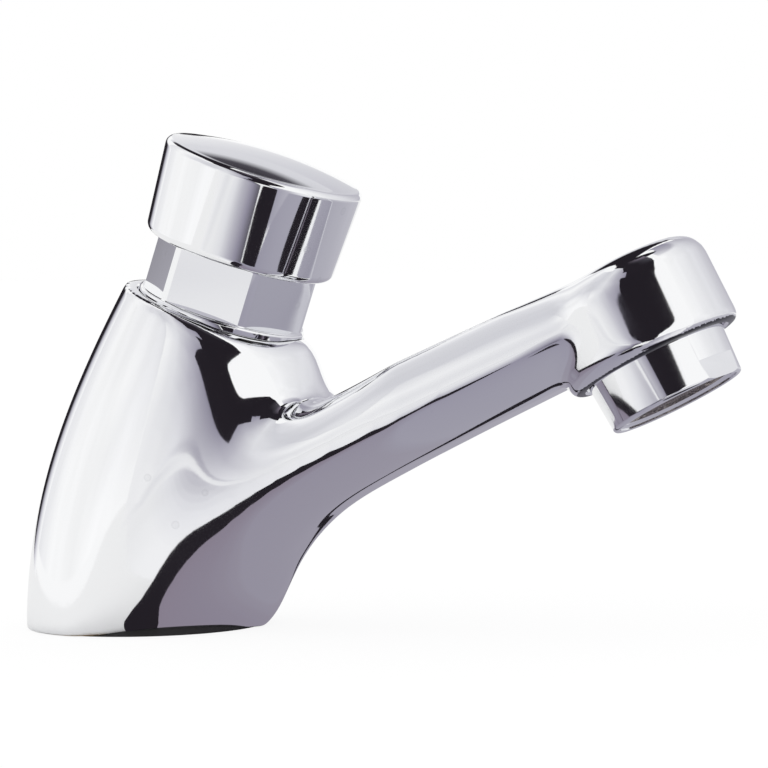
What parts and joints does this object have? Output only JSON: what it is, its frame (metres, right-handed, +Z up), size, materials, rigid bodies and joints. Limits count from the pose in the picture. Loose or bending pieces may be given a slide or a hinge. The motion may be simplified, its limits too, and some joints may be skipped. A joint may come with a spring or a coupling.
{
  "type": "push timed tap",
  "caption": "Deck basin tap with a leaning column, a rising spout with a screw-in aerator, and a large push button on a spring that closes by itself after a set time.",
  "frame": {"origin": "centre of the inlet thread's mouth, in the plane of the deck under the foot", "axes": "+X towards the spout's outlet, +Y to the left of somebody who faces the spout from behind the tap, +Z up from the deck; the inlet thread opens along -Z"},
  "size_m": [0.1591, 0.049, 0.1041],
  "materials": {
    "chrome": "polished",
    "brass": "machined",
    "steel": "bright",
    "plastic": "moulded",
    "rubber": "moulded"
  },
  "bodies": {
    "tap": {"body_casting": "chrome", "bonnet_nut": "chrome", "aerator_collar": "chrome", "valve_seat": "brass", "return_spring": "steel", "spring_washer": "steel", "seal_clip": "steel", "metering_pin": "steel", "aerator_screen": "steel", "inlet_strainer": "steel", "timing_cylinder": "plastic", "guide_bush": "plastic", "aerator_core": "plastic", "aerator_flow_disc": "plastic", "aerator_strainer": "plastic", "base_gasket": "rubber", "seat_seal": "rubber", "cylinder_seal": "rubber", "floor_seal": "rubber", "stem_seal": "rubber", "bonnet_gasket": "rubber", "aerator_gasket": "rubber"},
    "button": {"button_cap": "chrome", "button_carrier": "plastic", "button_snap_ring": "steel", "stem_nut": "brass", "stem": "brass", "piston": "brass", "piston_lip_seal": "rubber", "piston_clip": "steel", "valve_washer": "rubber", "valve_holder": "brass", "valve_nut": "brass"}
  },
  "joints": [
    {"name": "button_press", "type": "slide", "parent": "tap", "child": "button", "axis": [-0.3469, 0, -0.9379], "range_m": [0, 0.007], "stiffness_N_per_m": 2200, "springref_m": -0.008, "deforming": ["return_spring"]}
  ]
}
